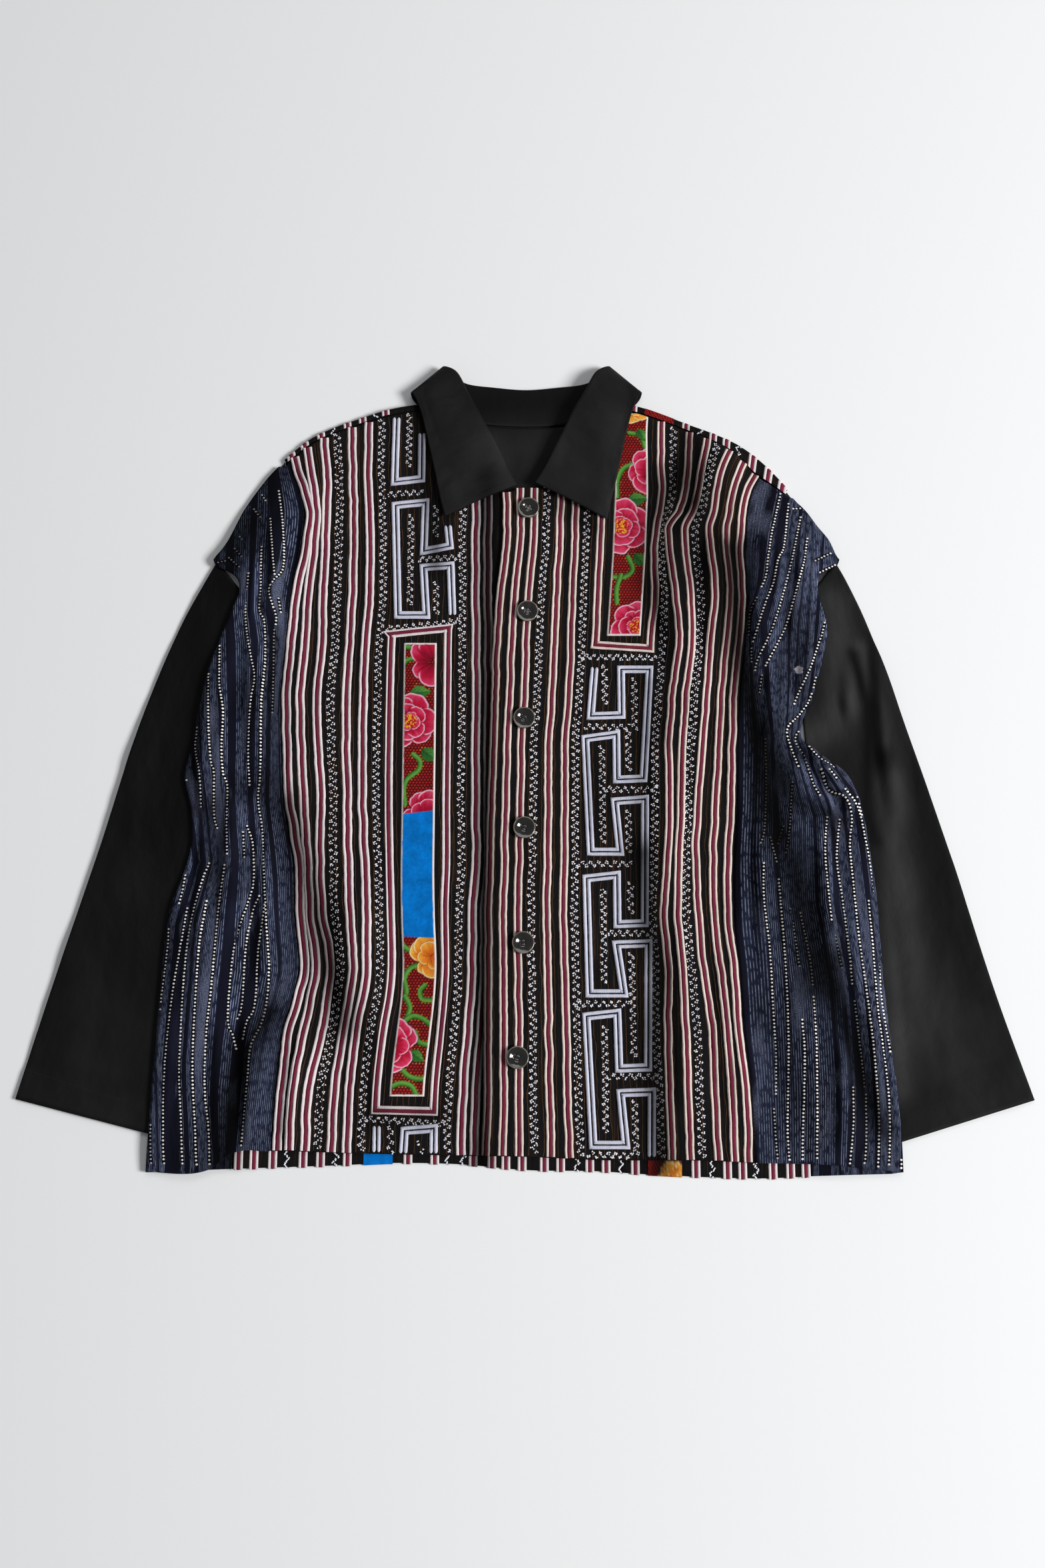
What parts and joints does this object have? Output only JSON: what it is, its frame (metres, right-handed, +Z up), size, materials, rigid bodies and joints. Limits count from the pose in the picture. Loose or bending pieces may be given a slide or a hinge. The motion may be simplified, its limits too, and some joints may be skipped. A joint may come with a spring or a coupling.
{
  "type": "hmong embroidered jacket",
  "caption": "Laid-flat button-front jacket of striped, batik and printed cotton panels with black sleeves and a spread collar.",
  "frame": {"origin": "on the surface the jacket lies on, at the middle of its length and width as it lies, under the button line's mid height", "axes": "+X to the wearer's left, +Y to the collar, +Z up out of the front"},
  "size_m": [0.8806, 0.7497, 0.0176],
  "materials": {
    "striped_cotton": "close-woven maroon-black cotton with raised cream and maroon bands",
    "indigo_cotton": "faded indigo batik cotton with rows of pale dots",
    "black_twill": "soft matt black cotton twill",
    "white_strip": "folded white cotton strip, sewn down",
    "flower_print": "red flowered cotton print with white edging",
    "horn": "polished dark horn-look resin"
  },
  "bodies": {
    "root": {"back": "striped_cotton", "back_facing": "black_twill", "collar": "black_twill", "front_left": "striped_cotton", "front_right": "striped_cotton", "side_front_left": "indigo_cotton", "side_front_right": "indigo_cotton", "side_back_left": "indigo_cotton", "side_back_right": "indigo_cotton", "sleeve_left": "black_twill", "sleeve_right": "black_twill", "key_strip_left": "white_strip", "key_strip_right_top": "white_strip", "key_strip_right_middle": "white_strip", "key_strip_right_hem_1": "white_strip", "key_strip_right_hem_2": "white_strip", "print_strip_left": "flower_print", "print_strip_right": "flower_print", "button_1": "horn", "button_2": "horn", "button_3": "horn", "button_4": "horn", "button_5": "horn", "button_6": "horn"}
  },
  "joints": []
}
